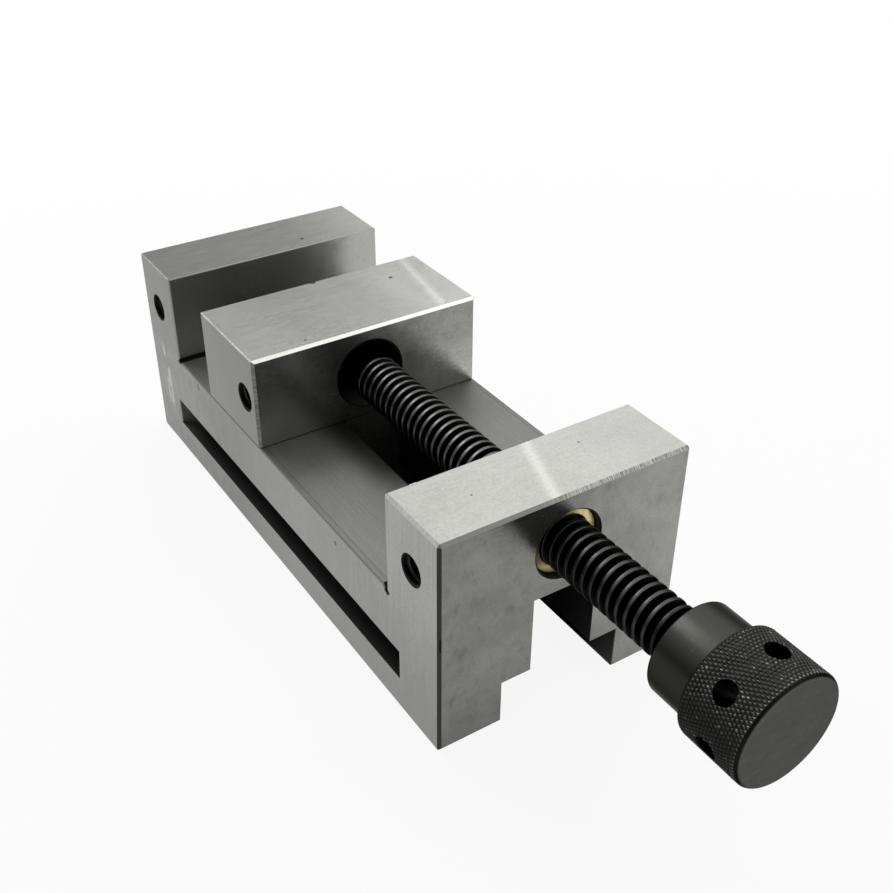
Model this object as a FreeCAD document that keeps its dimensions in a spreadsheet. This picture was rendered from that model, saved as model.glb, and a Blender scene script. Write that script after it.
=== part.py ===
import FreeCAD, Part

import math
import os

import Sketcher
from FreeCAD import Placement, Rotation, Vector

# A screw-type precision tool vise. The body is one ground bar: fixed jaw at the rear, flat bed, and a
# block at the front that carries a brass nut. The movable jaw slides on the bed, held down by a keeper
# plate under its tongue. The lead screw turns in the nut, and its nose is captive in the movable jaw.
#
# X runs along the screw towards the knob, Y across the jaws, Z up from the base. The origin lies under
# the middle of the whole vise, on the surface that it stands on.

SIZES = [
    ("body_length", 177.0, "rear face of the fixed jaw to front face of the screw block"),
    ("body_width", 73.0, "width of the body and of both jaws"),
    ("bed_height", 36.0, "base to the bed that the jaw slides on"),
    ("jaw_height", 28.4, "bed to the top of the fixed jaw and of the screw block"),
    ("front_block_length", 23.3, "thickness of the screw block"),
    ("fixed_jaw_length", 23.2, "thickness of the fixed jaw"),
    ("edge_chamfer", 0.8, "chamfer on the screw block and on the front edges of the movable jaw"),
    ("edge_break", 0.35, "fine chamfer on the other outer edges"),
    ("slot_width", 18.9, "guide slot through the bed"),
    ("slot_headroom", 0.3, "slot roof above the bed level under both blocks"),
    ("slot_overrun", 8.0, "how far the slot runs on under the fixed jaw"),
    ("channel_width", 36.3, "wide channel for the keeper plate"),
    ("channel_height", 13.7, "base to the roof of the wide channel"),
    ("channel_overrun", 12.0, "how far the channel runs on under the fixed jaw"),
    ("channel_corner", 6.0, "radius in the rear corners of the channel"),
    ("slot_chamfer", 0.6, "chamfer along the upper edges of the slot"),
    ("relief_width", 1.7, "relief grooves in the inner corners of the body"),
    ("relief_depth", 1.75, "depth of those grooves, at 45 degrees"),
    ("jaw_relief_rise", 0.7, "bed to the top of the groove in the fixed jaw"),
    ("block_relief_rise", 0.1, "bed to the top of the groove in the screw block"),
    ("tongue_relief_width", 1.2, "relief grooves between the movable jaw and its tongue"),
    ("tongue_relief_depth", 0.85, "depth of those grooves, at 45 degrees"),
    ("groove_bottom", 9.9, "base to the lower wall of the side clamp grooves"),
    ("groove_height", 9.2, "height of the side clamp grooves"),
    ("groove_depth", 8.5, "depth of the side clamp grooves"),
    ("groove_cutter", 40.0, "diameter of the disc cutter that leaves their round ends"),
    ("groove_rear_end", 17.5, "rear face to the rear end of a clamp groove"),
    ("groove_front_end", 18.1, "front face to the front end of a clamp groove"),
    ("screw_rise", 13.6, "bed to the axis of the lead screw"),
    ("jaw_opening", 24.6, "gap between the jaws, as shown"),
    ("jaw_length", 34.9, "thickness of the movable jaw"),
    ("jaw_drop", 0.1, "top of the movable jaw below the blocks"),
    ("slide_film", 0.02, "oil film between the movable jaw and the bed"),
    ("slide_gap", 0.05, "side and keeper clearance of the sliding jaw"),
    ("tongue_setback", 2.0, "tongue behind the clamping face"),
    ("vee_width", 3.0, "90 degree V groove down the clamping face"),
    ("ring_diameter", 22.0, "retaining ring"),
    ("ring_length", 12.0, "length of the retaining ring"),
    ("ring_gap", 0.3, "retaining ring round the screw, radial"),
    ("dish_diameter", 21.2, "mouth of the dish in the ring's face"),
    ("dish_depth", 4.0, "depth of the dish"),
    ("seat_gap", 0.03, "fitted pieces in their seats, radial"),
    ("pad_thickness", 3.0, "hardened thrust pad"),
    ("nose_diameter", 19.0, "captive nose of the screw"),
    ("nose_length", 5.0, "length of the nose"),
    ("nose_bevel", 2.0, "bevel on the end of the nose"),
    ("nose_float", 0.15, "end play of the nose, each way"),
    ("neck_length", 8.0, "plain neck between the nose and the thread"),
    ("screw_diameter", 14.0, "outside of the trapezoidal thread"),
    ("thread_depth", 1.75, "depth of the thread, to the neck"),
    ("thread_gap", 0.05, "screw in its nut, radial"),
    ("screw_length", 152.8, "nose tip to the shoulder at the knob"),
    ("spigot_diameter", 10.0, "plain end of the screw in the knob"),
    ("spigot_length", 14.0, "length of the plain end"),
    ("hub_diameter", 23.8, "plain hub of the knob"),
    ("hub_length", 11.7, "length of the hub"),
    ("hub_chamfer", 0.6, "chamfer on the rear edge of the hub"),
    ("grip_diameter", 28.2, "knurled grip of the knob"),
    ("grip_length", 17.0, "length of the grip"),
    ("grip_chamfer", 1.0, "chamfer on the end of the grip"),
    ("grip_edge", 0.4, "chamfer on the rear edge of the grip"),
    ("tommy_hole", 5.5, "radial holes for a tommy bar"),
    ("tommy_setback", 8.9, "end of the knob to the tommy-bar holes"),
    ("knob_turn", 18.2, "angle at which the knob rests, in degrees"),
    ("nut_diameter", 18.8, "body of the brass nut"),
    ("nut_recess", 2.0, "face of the nut behind the front face"),
    ("nut_chamfer", 0.6, "chamfer on the face of the nut"),
    ("nut_lead_in", 0.8, "chamfer at the mouth of the nut's thread"),
    ("nut_flange", 23.0, "flange of the nut, at the bed side"),
    ("nut_flange_length", 5.0, "thickness of the flange"),
    ("side_thread", 8.0, "outside of the tapped side holes"),
    ("side_chamfer", 0.35, "chamfer at the mouth of the side holes"),
    ("stop_hole_place", 10.8, "rear face to the work-stop hole in the fixed jaw"),
    ("stop_hole_depth", 16.0, "depth of the work-stop hole"),
    ("nut_lock_place", 11.8, "front face to the side hole in the screw block"),
    ("ring_lock_place", 7.2, "front of the movable jaw to its side hole"),
    ("lock_screw_length", 10.0, "grub screws in the side holes"),
    ("screw_fit", 0.05, "threads of small screws in their holes, radial"),
    ("lock_key", 4.0, "hexagon socket of the lock screws, across flats"),
    ("lock_key_depth", 4.0, "depth of that socket"),
    ("knob_thread", 5.0, "set screw in the hub"),
    ("knob_screw_length", 6.0, "length of the set screw"),
    ("knob_key", 2.5, "hexagon socket of the set screw, across flats"),
    ("knob_key_depth", 2.5, "depth of that socket"),
    ("keeper_thickness", 9.6, "keeper plate"),
    ("keeper_side_gap", 0.2, "keeper plate in the channel, each side"),
    ("keeper_chamfer", 0.5, "chamfer round the underside of the keeper"),
    ("keeper_thread", 6.0, "cap screws in the tongue"),
    ("keeper_hole_gap", 0.3, "cap screws in the keeper's holes, radial"),
    ("keeper_pitch", 18.0, "distance between the two cap screws"),
    ("keeper_shank", 16.0, "length of the cap screws under the head"),
    ("cap_head_diameter", 10.0, "head of a cap screw"),
    ("cap_head_height", 6.0, "height of the head"),
    ("cap_head_gap", 0.5, "head in its counterbore, radial"),
    ("cap_head_sink", 0.3, "head below the underside of the keeper"),
    ("cap_key", 5.0, "hexagon socket of a cap screw, across flats"),
    ("cap_key_depth", 3.0, "depth of that socket"),
    ("tap_run_out", 2.0, "tapped holes deeper than their screws"),
]


class Length:
    """A number from the size sheet, with the sheet expression that gives it.

    Adding, subtracting, multiplying or dividing two of them keeps both in step, so a shape is drawn
    at its real size and stays bound to the cells that the size came from.
    """

    def __init__(self, number, text):
        self.number = number
        self.text = text

    def __add__(self, other):
        other = as_length(other)
        return Length(self.number + other.number, f"({self.text} + {other.text})")

    def __radd__(self, other):
        return as_length(other) + self

    def __sub__(self, other):
        other = as_length(other)
        return Length(self.number - other.number, f"({self.text} - {other.text})")

    def __rsub__(self, other):
        return as_length(other) - self

    def __mul__(self, other):
        other = as_length(other)
        return Length(self.number * other.number, f"({self.text} * {other.text})")

    def __rmul__(self, other):
        return as_length(other) * self

    def __truediv__(self, other):
        other = as_length(other)
        return Length(self.number / other.number, f"({self.text} / {other.text})")

    def __neg__(self):
        return Length(-self.number, f"(0 - {self.text})")


def as_length(value):
    """A Length as it is, and a plain number as a Length of its own."""
    if isinstance(value, Length):
        return value
    return Length(float(value), repr(float(value)))


def root(value):
    """Square root of a Length."""
    return Length(math.sqrt(value.number), f"sqrt({value.text})")


class Sheet:
    """The size sheet: each row has a note, a number and the alias that the model asks for."""

    def __init__(self, document, rows):
        self.sheet = document.addObject("Spreadsheet::Sheet", "Sizes")
        self.lengths = {}
        for row, (alias, number, note) in enumerate(rows, start=1):
            self.sheet.set(f"A{row}", note)
            self.sheet.set(f"B{row}", str(number))
            self.sheet.setAlias(f"B{row}", alias)
            self.lengths[alias] = Length(number, f"Sizes.{alias}")

    def __getattr__(self, alias):
        return self.lengths[alias]


doc = FreeCAD.newDocument("PrecisionVise")
size = Sheet(doc, SIZES)
doc.recompute()

# Places along X, from the sizes. The rear face of the body comes first, and each piece follows from
# what it sits on. All of it is shifted so that the origin is in the middle of the whole vise.

socket_depth = size.ring_length + size.nose_length + size.nose_float * 2 + size.pad_thickness
jaw_face_from_rear = size.fixed_jaw_length + size.jaw_opening
jaw_front_from_rear = jaw_face_from_rear + size.jaw_length
nose_tip_from_rear = jaw_front_from_rear - socket_depth + size.pad_thickness + size.nose_float
knob_from_rear = nose_tip_from_rear + size.screw_length
whole_length = knob_from_rear + size.hub_length + size.grip_length

rear_x = -whole_length / 2
front_x = rear_x + size.body_length
jaw_x = rear_x + jaw_face_from_rear
jaw_front_x = rear_x + jaw_front_from_rear
nose_tip_x = rear_x + nose_tip_from_rear
knob_x = rear_x + knob_from_rear
half_width = size.body_width / 2
block_top = size.bed_height + size.jaw_height
screw_height = size.bed_height + size.screw_rise
jaw_bottom = size.bed_height + size.slide_film
axis_in_jaw = screw_height - jaw_bottom
keeper_top = size.channel_height - size.slide_gap
tongue_depth = jaw_bottom - keeper_top
nut_hole = size.nut_diameter + size.seat_gap * 2
socket_diameter = size.ring_diameter + size.seat_gap * 2
side_screw_diameter = size.side_thread - size.screw_fit * 2
keeper_screw_diameter = size.keeper_thread - size.screw_fit * 2
knob_screw_diameter = size.knob_thread - size.screw_fit * 2
tongue_middle = (size.tongue_setback + size.jaw_length) / 2


def bind(thing, prop, value):
    """Ties one property of an object to the size sheet."""
    thing.setExpression(prop, as_length(value).text)


def new_body(label):
    """A body whose label names the piece and its file."""
    body = doc.addObject("PartDesign::Body", label)
    body.Label = label
    return body


def put(body, x=0, y=0, z=0):
    """Places a body, with its place bound to the sheet."""
    for axis, value in (("x", x), ("y", y), ("z", z)):
        if isinstance(value, Length):
            bind(body, f"Placement.Base.{axis}", value)


def origin_plane(body, role):
    """The body's own plane or axis with that role."""
    return next(item for item in body.Origin.OriginFeatures if item.Role == role)


def new_sketch(body, role, name, offset=None):
    """A sketch on one of the body's planes, moved along the plane's normal by offset."""
    sketch = body.newObject("Sketcher::SketchObject", name)
    sketch.AttachmentSupport = [(origin_plane(body, role), "")]
    sketch.MapMode = "FlatFace"
    if offset is not None:
        bind(sketch, "AttachmentOffset.Base.z", offset)
        doc.recompute()
    return sketch


def pin_point(sketch, geometry, vertex, x, y):
    """Holds one point of a sketch at x, y, bound to the sheet."""
    for kind, axis, value in (("DistanceX", -2, as_length(x)), ("DistanceY", -1, as_length(y))):
        if value.number == 0 and "Sizes" not in value.text:
            sketch.addConstraint(Sketcher.Constraint("PointOnObject", geometry, vertex, axis))
            continue
        rule = Sketcher.Constraint(kind, -1, 1, geometry, vertex, value.number)
        index = sketch.addConstraint(rule)
        sketch.setExpression(f"Constraints[{index}]", value.text)


def outline(sketch, corners):
    """A closed outline of straight lines through the corners, each corner a pair of Lengths."""
    corners = [(as_length(x), as_length(y)) for x, y in corners]
    points = [Vector(x.number, y.number, 0) for x, y in corners]
    count = len(points)
    lines = [sketch.addGeometry(Part.LineSegment(points[i], points[(i + 1) % count])) for i in range(count)]
    for i, line in enumerate(lines):
        sketch.addConstraint(Sketcher.Constraint("Coincident", line, 2, lines[(i + 1) % count], 1))
        pin_point(sketch, line, 1, *corners[i])


def circle(sketch, x, y, diameter):
    """A circle with its centre and diameter bound to the sheet."""
    x, y = as_length(x), as_length(y)
    ring = Part.Circle(Vector(x.number, y.number, 0), Vector(0, 0, 1), diameter.number / 2)
    geometry = sketch.addGeometry(ring)
    pin_point(sketch, geometry, 3, x, y)
    index = sketch.addConstraint(Sketcher.Constraint("Diameter", geometry, diameter.number))
    sketch.setExpression(f"Constraints[{index}]", diameter.text)


def cutter_path(sketch, x_start, x_end, y, diameter):
    """The outline that a round cutter sweeps as it moves along X from one centre to the other."""
    x_start, x_end, y = as_length(x_start), as_length(x_end), as_length(y)
    r = diameter.number / 2
    a, b, level = x_start.number, x_end.number, y.number
    up, quarter = Vector(0, 0, 1), math.pi / 2
    bottom = sketch.addGeometry(Part.LineSegment(Vector(a, level - r, 0), Vector(b, level - r, 0)))
    far = sketch.addGeometry(
        Part.ArcOfCircle(Part.Circle(Vector(b, level, 0), up, r), -quarter, quarter))
    top = sketch.addGeometry(Part.LineSegment(Vector(b, level + r, 0), Vector(a, level + r, 0)))
    near = sketch.addGeometry(
        Part.ArcOfCircle(Part.Circle(Vector(a, level, 0), up, r), quarter, 3 * quarter))
    for first, second in ((bottom, far), (far, top), (top, near), (near, bottom)):
        sketch.addConstraint(Sketcher.Constraint("Tangent", first, 2, second, 1))
    for arc, x in ((far, x_end), (near, x_start)):
        pin_point(sketch, arc, 3, x, y)
    index = sketch.addConstraint(Sketcher.Constraint("Diameter", far, diameter.number))
    sketch.setExpression(f"Constraints[{index}]", diameter.text)


def hexagon(sketch, x, y, across_flats):
    """A hexagon socket's outline, with a corner towards +X."""
    x, y = as_length(x), as_length(y)
    corner = across_flats / root(as_length(3))
    half = corner / 2
    flat = across_flats / 2
    outline(sketch, [
        (x + corner, y), (x + half, y + flat), (x - half, y + flat),
        (x - corner, y), (x - half, y - flat), (x + half, y - flat)])


def relief_outline(sketch, x, y, into, aside, width, depth):
    """A narrow groove at 45 degrees, from the point x, y of a corner into the piece.

    into and aside are the ways, as signs along both axes, in which it runs and in which its width lies.
    It also reaches one width outwards, to clear the corner.
    """
    x, y = as_length(x), as_length(y)
    across = width / root(as_length(2))
    reach = depth / root(as_length(2))
    outer = (x - across * into[0], y - across * into[1])
    inner = (x + reach * into[0], y + reach * into[1])
    step = (across * aside[0], across * aside[1])
    outline(sketch, [
        outer, inner, (inner[0] + step[0], inner[1] + step[1]), (outer[0] + step[0], outer[1] + step[1])])


def pad(body, sketch, length, reversed_way=False, symmetric=False):
    """Raises a sketch into a solid."""
    feature = body.newObject("PartDesign::Pad", f"{sketch.Name}_pad")
    feature.Profile = sketch
    bind(feature, "Length", length)
    feature.Reversed = reversed_way
    if symmetric:
        feature.SideType = "Symmetric"
    doc.recompute()
    return feature


def revolve(body, sketch):
    """Turns a profile drawn above the X axis round that axis."""
    feature = body.newObject("PartDesign::Revolution", f"{sketch.Name}_turned")
    feature.Profile = sketch
    feature.ReferenceAxis = (sketch, ["H_Axis"])
    feature.Angle = 360
    doc.recompute()
    return feature


def pocket(body, sketch, depth, reversed_way=False, symmetric=False):
    """Cuts a sketch into the body, and makes sure that something was cut."""
    before = body.Shape.Volume
    feature = body.newObject("PartDesign::Pocket", f"{sketch.Name}_cut")
    feature.Profile = sketch
    bind(feature, "Length", depth)
    feature.Reversed = reversed_way
    if symmetric:
        feature.SideType = "Symmetric"
    doc.recompute()
    if not body.Shape.Volume < before:
        raise RuntimeError(f"{feature.Name} cuts nothing")
    return feature


def dress(body, kind, amount, wanted, name):
    """A chamfer or a fillet on the edges of the body that wanted picks."""
    tip = body.Tip
    names = [f"Edge{number}" for number, edge in enumerate(tip.Shape.Edges, start=1) if wanted(edge)]
    if not names:
        raise RuntimeError(f"{name} finds no edge")
    feature = body.newObject(f"PartDesign::{kind}", name)
    feature.Base = (tip, names)
    bind(feature, "Radius" if kind == "Fillet" else "Size", amount)
    doc.recompute()
    return feature


def near(first, second):
    """Whether two numbers are the same size, to a thousandth of a millimetre."""
    return abs(float(first) - float(second)) < 0.001


def rim(diameter, **place):
    """Picks a full circular edge by its diameter and one coordinate of its centre."""
    (axis, value), = place.items()

    def wanted(edge):
        curve = edge.Curve
        if not isinstance(curve, Part.Circle) or not edge.Closed:
            return False
        centre = getattr(curve.Center, axis)
        return near(curve.Radius, as_length(diameter).number / 2) and near(centre, as_length(value).number)
    return wanted


def corner_edge(edge, planes):
    """Whether an edge lies where two of the given planes meet. planes has the places along X, Y and Z."""
    box = edge.BoundBox
    spans = ((box.XMin, box.XMax), (box.YMin, box.YMax), (box.ZMin, box.ZMax))
    flat = 0
    for (low, high), places in zip(spans, planes):
        flat += any(near(low, place.number) and near(high, place.number) for place in map(as_length, places))
    return flat == 2


# Vise body: the side profile across the width, then the ways from below, the grooves and the holes.

def make_vise_body():
    body = new_body("vise_body")
    put(body, x=rear_x)
    jaw_face = size.fixed_jaw_length
    block_face = size.body_length - size.front_block_length
    top, bed, length = block_top, size.bed_height, size.body_length

    side = new_sketch(body, "XZ_Plane", "side_profile")
    outline(side, [
        (0, 0), (length, 0), (length, top), (block_face, top), (block_face, bed),
        (jaw_face, bed), (jaw_face, top), (0, top)])
    pad(body, side, size.body_width, symmetric=True)

    planes = ((0, jaw_face, block_face, length), (-half_width, half_width), (0, bed, top))

    def on_block(edge):
        return corner_edge(edge, planes) and edge.BoundBox.Center.x > block_face.number + 0.001
    dress(body, "Chamfer", size.edge_chamfer, on_block, "block_chamfers")

    def elsewhere(edge):
        inner_corner = edge.BoundBox.YLength > 1 and near(edge.BoundBox.Center.z, bed.number)
        return corner_edge(edge, planes) and not on_block(edge) and not inner_corner
    dress(body, "Chamfer", size.edge_break, elsewhere, "broken_edges")

    for name, face, rise, way in (("jaw_relief", jaw_face, size.jaw_relief_rise, -1),
                                  ("block_relief", block_face, size.block_relief_rise, 1)):
        groove = new_sketch(body, "XZ_Plane", name)
        relief_outline(groove, face, bed + rise, (way, -1), (-way, -1), size.relief_width, size.relief_depth)
        pocket(body, groove, size.body_width, symmetric=True)

    past_front = length + size.slot_width
    slot = new_sketch(body, "XY_Plane", "guide_slot")
    slot_rear = jaw_face - size.slot_overrun + size.slot_width / 2
    cutter_path(slot, slot_rear, past_front, 0, size.slot_width)
    pocket(body, slot, bed + size.slot_headroom, reversed_way=True)

    channel = new_sketch(body, "XY_Plane", "keeper_channel")
    channel_rear = jaw_face - size.channel_overrun
    half = size.channel_width / 2
    outline(channel, [(channel_rear, -half), (past_front, -half), (past_front, half), (channel_rear, half)])
    pocket(body, channel, size.channel_height, reversed_way=True)

    bevels = new_sketch(body, "YZ_Plane", "slot_bevels", jaw_face)
    mouth = size.slot_width / 2
    outline(bevels, [
        (-mouth - size.slot_chamfer, bed), (-mouth, bed - size.slot_chamfer),
        (mouth, bed - size.slot_chamfer), (mouth + size.slot_chamfer, bed)])
    pocket(body, bevels, block_face - jaw_face, reversed_way=True)

    def channel_corner(edge):
        box = edge.BoundBox
        at_rear = near(box.XLength, 0) and near(box.XMin, channel_rear.number)
        at_side = near(box.YLength, 0) and near(abs(box.YMin), half.number)
        return at_rear and at_side
    dress(body, "Fillet", size.channel_corner, channel_corner, "channel_corners")

    # A disc cutter, run along each side, leaves a groove with flat walls and a round run-out at each end.
    radius = size.groove_cutter / 2
    centre_out = radius - size.groove_depth
    run_out = root(radius * radius - centre_out * centre_out)
    for name, way in (("left_clamp_groove", -1), ("right_clamp_groove", 1)):
        groove = new_sketch(body, "XY_Plane", name, size.groove_bottom)
        cutter_path(groove, size.groove_rear_end + run_out, length - size.groove_front_end - run_out,
                    (half_width + centre_out) * way, size.groove_cutter)
        pocket(body, groove, size.groove_height, reversed_way=True)

    hole = new_sketch(body, "YZ_Plane", "nut_hole", length)
    circle(hole, 0, screw_height, nut_hole)
    pocket(body, hole, size.front_block_length)
    dress(body, "Chamfer", size.side_chamfer, rim(nut_hole, x=length), "nut_hole_chamfer")
    seat = new_sketch(body, "YZ_Plane", "nut_flange_seat", block_face)
    circle(seat, 0, screw_height, size.nut_flange + size.seat_gap * 2)
    pocket(body, seat, size.nut_flange_length + size.seat_gap, reversed_way=True)

    stop = new_sketch(body, "XZ_Plane", "stop_hole", half_width)
    circle(stop, size.stop_hole_place, screw_height, size.side_thread)
    pocket(body, stop, size.stop_hole_depth)
    lock = new_sketch(body, "XZ_Plane", "nut_lock_hole", half_width)
    circle(lock, length - size.nut_lock_place, screw_height, size.side_thread)
    pocket(body, lock, half_width - size.nut_diameter / 4)
    dress(body, "Chamfer", size.side_chamfer, rim(size.side_thread, y=-half_width), "side_hole_chamfers")
    return body


# Movable jaw: a T-shaped section, jaw above and tongue below, with the screw's socket in its front.

def make_movable_jaw():
    body = new_body("movable_jaw")
    put(body, x=jaw_x, z=jaw_bottom)
    top = block_top - size.jaw_drop - jaw_bottom
    tongue = size.slot_width / 2 - size.slide_gap

    section = new_sketch(body, "YZ_Plane", "jaw_section")
    outline(section, [
        (-half_width, 0), (-tongue, 0), (-tongue, -tongue_depth), (tongue, -tongue_depth),
        (tongue, 0), (half_width, 0), (half_width, top), (-half_width, top)])
    pad(body, section, size.jaw_length)

    clear = new_sketch(body, "XZ_Plane", "tongue_end")
    outline(clear, [
        (0, -tongue_depth), (size.tongue_setback, -tongue_depth), (size.tongue_setback, 0), (0, 0)])
    pocket(body, clear, size.slot_width, symmetric=True)

    planes = ((0, size.jaw_length), (-half_width, half_width), (0, top))

    def outer(edge):
        box = edge.BoundBox
        seat = near(box.ZMax, 0) and not near(box.YLength, 0)
        return corner_edge(edge, planes) and not seat

    def in_front(edge):
        return outer(edge) and near(edge.BoundBox.XMin, size.jaw_length.number)
    dress(body, "Chamfer", size.edge_chamfer, in_front, "front_chamfers")
    dress(body, "Chamfer", size.edge_break, lambda edge: outer(edge) and not in_front(edge), "broken_edges")

    for name, way in (("left_tongue_relief", -1), ("right_tongue_relief", 1)):
        groove = new_sketch(body, "YZ_Plane", name)
        relief_outline(groove, tongue * way, 0, (-way, 1), (-way, -1),
                       size.tongue_relief_width, size.tongue_relief_depth)
        pocket(body, groove, size.jaw_length, reversed_way=True)

    vee = new_sketch(body, "XY_Plane", "vee_groove", top)
    outline(vee, [(0, -size.vee_width / 2), (size.vee_width / 2, 0), (0, size.vee_width / 2)])
    pocket(body, vee, top)

    socket = new_sketch(body, "YZ_Plane", "screw_socket", size.jaw_length)
    circle(socket, 0, axis_in_jaw, socket_diameter)
    pocket(body, socket, socket_depth)

    lock = new_sketch(body, "XZ_Plane", "ring_lock_hole", half_width)
    circle(lock, size.jaw_length - size.ring_lock_place, axis_in_jaw, size.side_thread)
    pocket(body, lock, half_width - size.ring_diameter / 4)
    dress(body, "Chamfer", size.side_chamfer, rim(size.side_thread, y=-half_width), "ring_lock_chamfer")

    taps = new_sketch(body, "XY_Plane", "keeper_taps", -tongue_depth)
    for way in (-1, 1):
        circle(taps, tongue_middle + size.keeper_pitch / 2 * way, 0, size.keeper_thread)
    in_tongue = size.keeper_shank - (size.keeper_thickness - size.cap_head_height - size.cap_head_sink)
    pocket(body, taps, in_tongue + size.tap_run_out, reversed_way=True)
    return body


# Keeper plate: held up against the channel's roof by the tongue and two sunk cap screws.

def make_keeper_plate():
    body = new_body("keeper_plate")
    put(body, x=jaw_x, z=keeper_top)
    half = size.channel_width / 2 - size.keeper_side_gap
    plate = new_sketch(body, "XY_Plane", "plate")
    outline(plate, [
        (size.tongue_setback, -half), (size.jaw_length, -half), (size.jaw_length, half),
        (size.tongue_setback, half)])
    pad(body, plate, size.keeper_thickness, reversed_way=True)
    bottom = -size.keeper_thickness
    dress(body, "Chamfer", size.keeper_chamfer,
          lambda edge: near(edge.BoundBox.ZMax, bottom.number), "underside_chamfer")

    holes = new_sketch(body, "XY_Plane", "clearance_holes")
    seats = new_sketch(body, "XY_Plane", "counterbores", bottom)
    for way in (-1, 1):
        x = tongue_middle + size.keeper_pitch / 2 * way
        circle(holes, x, 0, size.keeper_thread + size.keeper_hole_gap * 2)
        circle(seats, x, 0, size.cap_head_diameter + size.cap_head_gap * 2)
    pocket(body, holes, size.keeper_thickness)
    pocket(body, seats, size.cap_head_height + size.cap_head_sink, reversed_way=True)
    return body


# Keeper screws: two cap screws that make one node, drawn from the head's underside up and down.

def make_keeper_screws():
    body = new_body("keeper_screws")
    seat = keeper_top - size.keeper_thickness + size.cap_head_height + size.cap_head_sink
    put(body, x=jaw_x, z=seat)
    heads = new_sketch(body, "XY_Plane", "cap_heads")
    shanks = new_sketch(body, "XY_Plane", "cap_shanks")
    keys = new_sketch(body, "XY_Plane", "cap_keys", -size.cap_head_height)
    for way in (-1, 1):
        x = tongue_middle + size.keeper_pitch / 2 * way
        circle(heads, x, 0, size.cap_head_diameter)
        circle(shanks, x, 0, keeper_screw_diameter)
        hexagon(keys, x, 0, size.cap_key)
    body.AllowCompound = True
    pad(body, heads, size.cap_head_height, reversed_way=True)
    pad(body, shanks, size.keeper_shank)
    pocket(body, keys, size.cap_key_depth, reversed_way=True)
    return body


# Lead screw: nose, neck, thread at its outside diameter, and the plain end that the knob takes.

def make_lead_screw():
    body = new_body("lead_screw")
    put(body, x=nose_tip_x, z=screw_height)
    nose, crest, spigot = size.nose_diameter / 2, size.screw_diameter / 2, size.spigot_diameter / 2
    neck = crest - size.thread_depth
    thread_start = size.nose_length + size.neck_length
    profile = new_sketch(body, "XZ_Plane", "screw_profile")
    outline(profile, [
        (0, 0), (0, nose - size.nose_bevel), (size.nose_bevel, nose), (size.nose_length, nose),
        (size.nose_length, neck), (thread_start, neck), (thread_start + size.thread_depth, crest),
        (size.screw_length, crest), (size.screw_length, spigot),
        (size.screw_length + size.spigot_length, spigot), (size.screw_length + size.spigot_length, 0)])
    revolve(body, profile)
    return body


# Screw nut: brass, pushed in from the bed side until its flange seats.

def make_screw_nut():
    body = new_body("screw_nut")
    put(body, x=front_x - size.front_block_length, z=screw_height)
    bore = size.screw_diameter / 2 + size.thread_gap
    barrel, flange = size.nut_diameter / 2, size.nut_flange / 2
    face = size.front_block_length - size.nut_recess
    profile = new_sketch(body, "XZ_Plane", "nut_profile")
    outline(profile, [
        (0, bore + size.nut_lead_in), (0, flange), (size.nut_flange_length, flange),
        (size.nut_flange_length, barrel), (face - size.nut_chamfer, barrel),
        (face, barrel - size.nut_chamfer), (face, bore + size.nut_lead_in),
        (face - size.nut_lead_in, bore), (size.nut_lead_in, bore)])
    revolve(body, profile)
    return body


# Retaining ring: its dished face is flush with the jaw, and its rear face holds the nose in.

def make_retaining_ring():
    body = new_body("retaining_ring")
    put(body, x=jaw_front_x - size.ring_length, z=screw_height)
    bore = size.screw_diameter / 2 + size.ring_gap
    outside = size.ring_diameter / 2
    profile = new_sketch(body, "XZ_Plane", "ring_profile")
    outline(profile, [
        (0, bore), (0, outside), (size.ring_length, outside), (size.ring_length, size.dish_diameter / 2),
        (size.ring_length - size.dish_depth, bore)])
    revolve(body, profile)
    return body


# Thrust pad: a plain hardened disc at the bottom of the socket.

def make_thrust_pad():
    body = new_body("thrust_pad")
    put(body, x=jaw_front_x - socket_depth, z=screw_height)
    disc = new_sketch(body, "YZ_Plane", "disc")
    circle(disc, 0, 0, size.ring_diameter)
    pad(body, disc, size.pad_thickness)
    return body


# Knob: hub, knurled grip and three drillings right through, which give six tommy-bar holes.

def make_knob():
    body = new_body("knob")
    put(body, x=knob_x, z=screw_height)
    hub, grip = size.hub_diameter / 2, size.grip_diameter / 2
    bore = size.spigot_diameter / 2 + size.seat_gap
    end = size.hub_length + size.grip_length
    deep = size.spigot_length + size.seat_gap
    profile = new_sketch(body, "XZ_Plane", "knob_profile")
    outline(profile, [
        (0, bore), (0, hub - size.hub_chamfer), (size.hub_chamfer, hub), (size.hub_length, hub),
        (size.hub_length, grip - size.grip_edge),
        (size.hub_length + size.grip_edge, grip), (end - size.grip_chamfer, grip),
        (end, grip - size.grip_chamfer), (end, 0), (deep, 0), (deep, bore)])
    revolve(body, profile)

    drilling = new_sketch(body, "XZ_Plane", "tommy_drilling")
    circle(drilling, end - size.tommy_setback, 0, size.tommy_hole)
    through = pocket(body, drilling, size.grip_diameter, symmetric=True)
    pattern = body.newObject("PartDesign::PolarPattern", "tommy_holes")
    pattern.Originals = [through]
    pattern.Axis = (origin_plane(body, "X_Axis"), [""])
    pattern.Angle = 360
    pattern.Occurrences = 6
    body.Tip = pattern
    doc.recompute()

    tap = new_sketch(body, "XY_Plane", "set_screw_hole")
    circle(tap, size.hub_length / 2, 0, size.knob_thread)
    pocket(body, tap, hub)
    turn(body)
    return body


def turn(body):
    """Turns a piece of the knob to the angle at which it rests."""
    body.Placement = Placement(body.Placement.Base, Rotation(Vector(1, 0, 0), size.knob_turn.number))
    bind(body, "Placement.Rotation.Angle", size.knob_turn)


# Grub screws: plain cylinders at the thread's outside, with a hexagon socket.

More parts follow.
